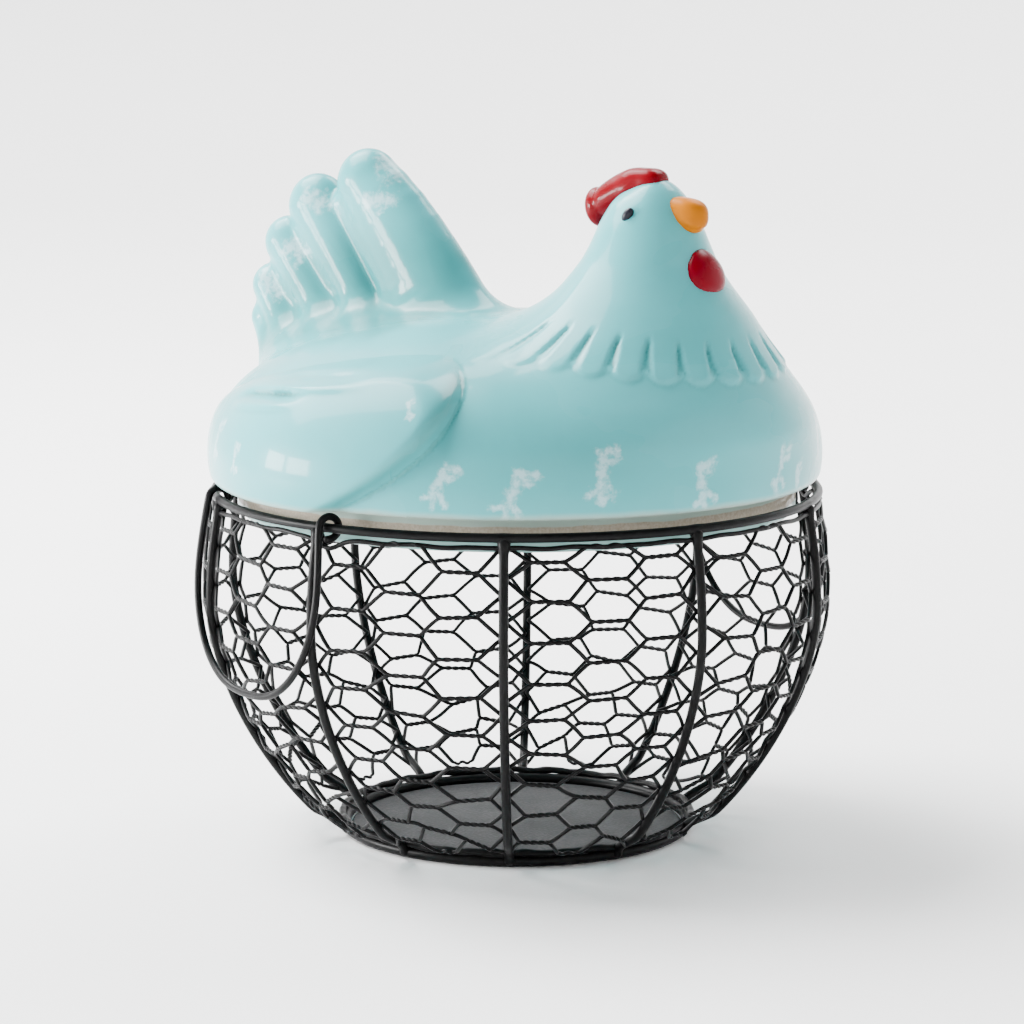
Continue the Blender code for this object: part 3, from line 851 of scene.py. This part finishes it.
def skin(x, y, z):
    """The outside of the hen, running on below the seat."""
    ahead = -y
    side, out, turn = neck(x, ahead, z)
    throat = trim_to(side - collar(out, turn, z), z - 0.214, 0.008)
    head = fuse(ball(x, ahead, z, *HEAD), ball(x, ahead, z, *CROWN), 0.005)
    head = fuse(throat, head, 0.009)
    back = fuse(dome(x, ahead, z) - wings(x, ahead, z), ball(x, ahead, z, *ROOT), 0.016)
    rear = fuse(back, tail(x, ahead, z), 0.010)
    return fuse(rear, head, 0.016)


def hollow(x, y, z):
    """The room inside the lid."""
    ahead = -y
    side, _, _ = neck(x, ahead, z)
    core = fuse(dome(x, ahead, z), trim_to(side, z - 0.205, 0.006), 0.018) + WALL
    radius = np.hypot(x, y)
    throat = FLANGE_RADIUS - WALL
    ledge = (radius - throat - 1.5 * np.clip(z - LID_FLOOR - 0.002, 0, None)) * 0.6
    above = trim_to(core, ledge, 0.002)
    return np.minimum(above, np.maximum(radius - throat, z - DOME_WAIST))


def lid(x, y, z):
    radius = np.hypot(x, y)
    bird = trim_to(skin(x, y, z), LID_FLOOR - z, 0.0022)
    floor = LID_FLOOR - FLANGE_DEPTH
    flange = trim_to(radius - FLANGE_RADIUS, np.abs(z - floor - 0.010) - 0.010, 0.0024)
    return trim_to(fuse(bird, flange, 0.0015), -hollow(x, y, z), 0.0018)


def set_on(form, x, y, z):
    """The part of a form that shows outside the hen."""
    return np.maximum(form, -skin(x, y, z) - SET_IN)


def row_of_balls(x, y, z, balls):
    form = None
    for centre, half, pitch, power, fillet in balls:
        distance = ball(x, -y, z, centre, half, pitch, power=power)
        form = distance if form is None else fuse(form, distance, fillet)
    return form


def comb(x, y, z):
    return set_on(row_of_balls(x, y, z, COMB), x, y, z)


def beak(x, y, z):
    start, height, fall = MOUTH
    mouth = height - fall * (-y - start)
    cut = MOUTH_DEPTH * np.exp(-((z - mouth) / MOUTH_HALF) ** 2) * rise(-y, start, start + 0.004)
    return set_on(row_of_balls(x, y, z, BEAK) + cut, x, y, z)


def wattle(x, y, z):
    wide = 1 + WATTLE_TAPER * (z - WATTLE_MIDDLE)
    return set_on(ball(x * wide, -y, z, *WATTLE), x, y, z)


def eye(x, y, z, side):
    return set_on(ball(x, -y, z, *HEN_EYE, side * HEN_EYE_SIDE), x, y, z)


# Finding a form's surface

def sample(form, low, cell, counts):
    """The form's distances on a grid. Only blocks near the surface are worked out cell by cell."""
    block = 4
    blocks = [-(-count // block) for count in counts]
    axes = [low[axis] + cell * block * (np.arange(blocks[axis]) + 0.5) for axis in range(3)]
    coarse = form(*[part.astype(np.float32) for part in np.meshgrid(*axes, indexing="ij")])
    values = coarse.repeat(block, 0).repeat(block, 1).repeat(block, 2)[:counts[0], :counts[1], :counts[2]]
    near = np.abs(values) < cell * block * 1.6
    places = np.nonzero(near)
    points = [(low[axis] + cell * places[axis]).astype(np.float32) for axis in range(3)]
    values[near] = form(*points)
    return values


def surface_net(values, low, cell):
    """Vertices and four-sided faces of the surface where values change sign."""
    inside = values < 0
    corners = [(a, b, c) for a in (0, 1) for b in (0, 1) for c in (0, 1)]
    size = [count - 1 for count in values.shape]

    def shifted(array, corner):
        return array[tuple(slice(start, start + count) for start, count in zip(corner, size))]

    hits = sum(shifted(inside, corner).astype(np.int8) for corner in corners)
    cells = np.nonzero((hits > 0) & (hits < 8))
    at = {corner: shifted(values, corner)[cells] for corner in corners}
    total = np.zeros((len(cells[0]), 3))
    crossings = np.zeros(len(cells[0]))
    for start in corners:
        for axis in range(3):
            if start[axis]:
                continue
            end = tuple(1 if index == axis else value for index, value in enumerate(start))
            change = (at[start] < 0) != (at[end] < 0)
            share = np.where(change, at[start] / np.where(change, at[start] - at[end], 1), 0)
            point = np.tile(np.array(start, float), (len(share), 1))
            point[:, axis] = share
            total += point * change[:, None]
            crossings += change
    vertices = low + cell * (np.stack(cells, -1) + total / crossings[:, None])
    index = np.full(size, -1, np.int64)
    index[cells] = np.arange(len(cells[0]))
    faces = []
    for axis in range(3):
        near, far = [slice(1, -1)] * 3, [slice(1, -1)] * 3
        near[axis], far[axis] = slice(0, -1), slice(1, None)
        start, end = inside[tuple(near)], inside[tuple(far)]
        first, second = [other for other in range(3) if other != axis]
        for change, flip in ((start & ~end, axis == 1), (~start & end, axis != 1)):
            place = np.array(np.nonzero(change))
            place[[other for other in range(3) if other != axis]] += 1
            around = []
            for back_first, back_second in ((0, 0), (1, 0), (1, 1), (0, 1)):
                spot = place.copy()
                spot[first] -= back_first
                spot[second] -= back_second
                around.append(index[tuple(spot)])
            quads = np.stack(around, -1)
            faces.append(quads[:, ::-1] if flip else quads)
    return vertices, np.vstack(faces)


def settle(form, vertices, cell):
    """Moves the vertices onto the form's true surface."""
    step = cell * 0.25
    for _ in range(2):
        value = form(*vertices.T)
        slopes = [form(*(vertices + shift).T) - form(*(vertices - shift).T) for shift in np.eye(3) * step]
        slope = np.stack(slopes, -1) / (2 * step)
        move = value[:, None] * slope / np.maximum((slope ** 2).sum(-1, keepdims=True), 0.1)
        length = np.linalg.norm(move, axis=1, keepdims=True)
        vertices = vertices - move * np.minimum(1, 0.6 * cell / np.maximum(length, 1e-9))
    return vertices


def carve(name, form, low, high, cell, slot, replaced):
    """A piece of the lid with the form's surface."""
    low = np.array(low)
    counts = [int(math.ceil(side / cell)) + 1 for side in np.array(high) - low]
    vertices, faces = surface_net(sample(form, low, cell, counts), low, cell)
    vertices = settle(form, vertices, cell)
    turn = np.array(Matrix.Rotation(LID_TURN, 3, "Z"))
    piece = add_piece(name, vertices @ turn.T, faces, "lid", slot, replaced)
    return piece, vertices


# Sprigs sponged onto the glaze, as (degrees from straight ahead, height, size). The hen's right is positive.
SPRIGS = [(65, 0.1380, 0.85), (52, 0.1355, 1.0), (36, 0.1415, 1.0), (16.5, 0.1362, 0.9), (71, 0.1625, 0.35),
          (121, 0.1437, 0.8), (109, 0.1405, 0.6), (135, 0.150, 0.9), (152, 0.141, 1.0), (171, 0.146, 0.8),
          (-3.5, 0.1375, 0.9), (-11, 0.1312, 0.8), (-24, 0.142, 1.0), (-40, 0.1355, 0.9), (-55, 0.1425, 1.0),
          (-70, 0.136, 0.8), (-88, 0.146, 0.9), (-104, 0.139, 0.8), (-121, 0.149, 0.9), (-138, 0.140, 1.0),
          (-156, 0.147, 0.8)]
# Patches on both sides of the tail, as (behind the middle, height)
TAIL_PATCHES = [(0.0860, 0.2185), (0.0965, 0.2000), (0.1105, 0.1880), (0.0560, 0.2330), (0.0560, 0.2200)]

# Strokes that make up a sprig and a patch: start, end and half width in millimetres
SPRIG = [((-1.0, 7.0), (-1.2, 0.5), 1.5), ((-1.0, 6.5), (4.5, 8.0), 0.9),
         ((-0.5, 4.2), (3.8, 4.6), 0.7), ((-1.4, 0.5), (-2.2, -4.5), 0.9),
         ((-2.2, -4.0), (-5.5, -6.2), 0.7), ((-2.0, -4.0), (-1.2, -8.5), 0.8),
         ((-1.2, -2.5), (3.0, -6.5), 0.7)]
PATCH_SIZE = 1.35
PATCH = [((-2.2, 1.2), (0.8, 0.2), 1.7), ((0.8, 0.2), (4.6, -1.8), 0.8), ((0.5, -3.2), (1.0, -3.0), 0.3)]
NO_SPRIG = 0.02              # distance stored where no sprig is near
INSIDE = 0.060               # sprigs stay outside this radius
TAIL_FOOT = 0.165            # and the tail's patches above this height


def stroke_distance(strokes, u, v):
    """Distance in metres to the nearest stroke."""
    result = np.full(len(u), 1.0)
    for start, end, half in strokes:
        start, end = np.array(start) / 1000, np.array(end) / 1000
        run = end - start
        share = np.clip(((u - start[0]) * run[0] + (v - start[1]) * run[1]) / (run @ run), 0, 1)
        reach = np.hypot(u - start[0] - run[0] * share, v - start[1] - run[1] * share)
        result = np.minimum(result, reach - half / 1000)
    return result


def store(piece, name, values):
    attribute = piece.data.attributes.new(name, "FLOAT", "POINT")
    attribute.data.foreach_set("value", values.astype(np.float32))


def mark_sprigs(piece, vertices):
    """Stores how far each vertex is from the nearest sprig's strokes."""
    rng = np.random.default_rng(5)
    x, y, z = vertices.T
    angle = np.arctan2(-x, -y)
    radius = np.hypot(x, y)
    result = np.full(len(x), NO_SPRIG)

    def stamp(strokes, size, u, v, where):
        tilt = rng.uniform(-0.45, 0.45)
        across = (u * math.cos(tilt) - v * math.sin(tilt)) / size
        up = (u * math.sin(tilt) + v * math.cos(tilt)) / size
        distance = np.where(where, stroke_distance(strokes, across, up), NO_SPRIG)
        np.minimum(result, distance, out=result)

    for turn, height, size in SPRIGS:
        away = (angle - math.radians(turn) + np.pi) % (2 * np.pi) - np.pi
        stamp(SPRIG, size, -away * radius, z - height, (radius > INSIDE) & (np.abs(away) < 0.2))
    for behind, height in TAIL_PATCHES:
        for side in (-1, 1):
            stamp(PATCH, PATCH_SIZE, (y - behind) * side, z - height, (x * side > 0) & (z > TAIL_FOOT))
    store(piece, "sprig", result)


def store_painted_shade(piece, vertices):
    """Stores painted shade: a darker band inside the wings' front edges and down the tail's feathers."""
    x, y, z = vertices.T
    to_front, to_top = wing_edges(np.degrees(np.arctan2(np.abs(x), -y)), z)
    band = np.exp(-((to_front + SHADE_INSET) / SHADE_HALF) ** 2) * rise(-to_top, 0.0005, 0.0060)
    band = band * (np.hypot(x, y) > 0.080)
    tips = np.array([line[-1][:2] for line, _ in TAIL])
    fall = np.interp(y, tips[:, 0], tips[:, 1]) - z
    foot = np.interp(y, *zip(*SHADE_FEET))
    fan = rise(fall, *SHADE_FALL) * rise(z, foot, foot + SHADE_FOOT_FADE) * rise(y, *SHADE_FRONT)
    # Painted shade: 1 where the glaze is painted darkest
    store(piece, "painted_shade", np.maximum(band, fan))


def make_hen():
    high = (0.1185, 0.1250, 0.2405)
    low = (-0.1185, -0.1140, LID_FLOOR - FLANGE_DEPTH - 0.003)
    piece, vertices = carve("hen_glazed", lid, low, high, HEN_CELL, "aqua_glaze", "hen_lid")
    mark_sprigs(piece, vertices)
    store_painted_shade(piece, vertices)
    carve("comb_glazed", comb, (-0.010, -0.070, 0.208), (0.010, -0.026, 0.241), TRIM_CELL,
          "red_glaze", "comb")
    carve("beak_glazed", beak, (-0.010, -0.088, 0.208), (0.010, -0.060, 0.230), TRIM_CELL,
          "yellow_glaze", "beak")
    carve("wattle_glazed", wattle, (-0.011, -0.088, 0.190), (0.011, -0.070, 0.213), TRIM_CELL,
          "crimson_glaze", "wattle")
    for name, side in (("eye_right", -1), ("eye_left", 1)):
        near, far = sorted((side * 0.011, side * 0.018))
        carve(name + "_glazed", lambda x, y, z, side=side: eye(x, y, z, side), (near, -0.064, 0.216),
              (far, -0.054, 0.227), EYE_CELL, "eye_glaze", name)


# Room, light and camera

CAMERA_TURN = math.radians(-33.8)
CAMERA_DISTANCE = 1.2887
CAMERA_HEIGHT = 0.3244
AIM_HEIGHT = 0.1127
AIM_LEFT = 0.0016
LENS = 130.2

# Floor: (radius, height) from the middle outwards. It lies just below the basket.
FLOOR = [(0, -0.0002), (1.6, -0.0002), (2.4, 0.03), (3.0, 0.20), (3.4, 0.60), (3.6, 1.4), (3.6, 3.0)]

# Lights: turns are degrees to the right of the camera's side
ROOM_LIGHT = 0.12
PANE_TURNS = (-94, -79)
SKY_TURN = -116
BACKDROP_TURNS = (148, 212)


def aim(thing, target):
    thing.rotation_euler = (Vector(target) - thing.location).to_track_quat("-Z", "Y").to_euler()


def around(turn, distance, height):
    """A point at a turn to the right of the camera's own side of the basket."""
    angle = CAMERA_TURN + turn
    return Vector((distance * math.sin(angle), -distance * math.cos(angle), height))


def make_camera():
    data = bpy.data.cameras.new("camera")
    data.lens = LENS
    camera = bpy.data.objects.new("camera", data)
    bpy.context.scene.collection.objects.link(camera)
    camera.location = around(0, CAMERA_DISTANCE, CAMERA_HEIGHT)
    left = Vector((-math.cos(CAMERA_TURN), -math.sin(CAMERA_TURN), 0))
    aim(camera, Vector((0, 0, AIM_HEIGHT)) + left * AIM_LEFT)
    bpy.context.scene.camera = camera


def soft_light(name, place, size, power, target=(0, 0, 0.13)):
    """A light panel that faces a target, which is otherwise the middle of the basket and its lid."""
    data = bpy.data.lights.new(name, "AREA")
    data.shape = "RECTANGLE"
    data.size, data.size_y = size
    data.energy = power
    light = bpy.data.objects.new(name, data)
    bpy.context.scene.collection.objects.link(light)
    light.location = place
    aim(light, target)


def make_room():
    """A pale floor that curves up into a backdrop on every side, under a dim white sky."""
    vertices, faces = lathe(FLOOR, 96)
    mesh = bpy.data.meshes.new("floor")
    mesh.from_pydata(vertices.tolist(), [], faces)
    mesh.shade_smooth()
    look = Look("pale_floor")
    shade = look.span(look.noise(3.0, 2.0), 0.3, 0.7)
    look.set("Base Color", look.mix(shade, (0.93, 0.93, 0.93), (0.95, 0.95, 0.95)))
    look.set("Roughness", 0.9)
    mesh.materials.append(look.material)
    floor = bpy.data.objects.new("floor", mesh)
    bpy.context.scene.collection.objects.link(floor)
    world = bpy.data.worlds.new("room")
    world.use_nodes = True
    background = world.node_tree.nodes["Background"]
    background.inputs["Color"].default_value = (1.0, 1.0, 1.0, 1.0)
    background.inputs["Strength"].default_value = ROOM_LIGHT
    bpy.context.scene.world = world


def make_lights():
    """Two window panes and the sky on the camera's left, and two lights on the backdrop."""
    for turn in PANE_TURNS:
        soft_light("window_pane", around(math.radians(turn), 1.4, 0.24), (0.30, 0.26), 20.0)
    soft_light("sky", around(math.radians(SKY_TURN), 1.0, 1.45), (1.2, 1.2), 104.0)
    for turn in BACKDROP_TURNS:
        place = around(math.radians(turn), 2.0, 2.2)
        soft_light("backdrop", place, (1.6, 1.6), 100.0, around(math.radians(turn), 2.2, 0.0))


def make_basket():
    rng = np.random.default_rng(11)
    make_rings()
    make_plate()
    make_ribs()
    for index in range(RIB_COUNT):
        make_bay(index, rng)
    make_handle("handle_left", -1)
    make_handle("handle_right", 1)


make_camera()
make_basket()
make_hen()
make_room()
make_lights()
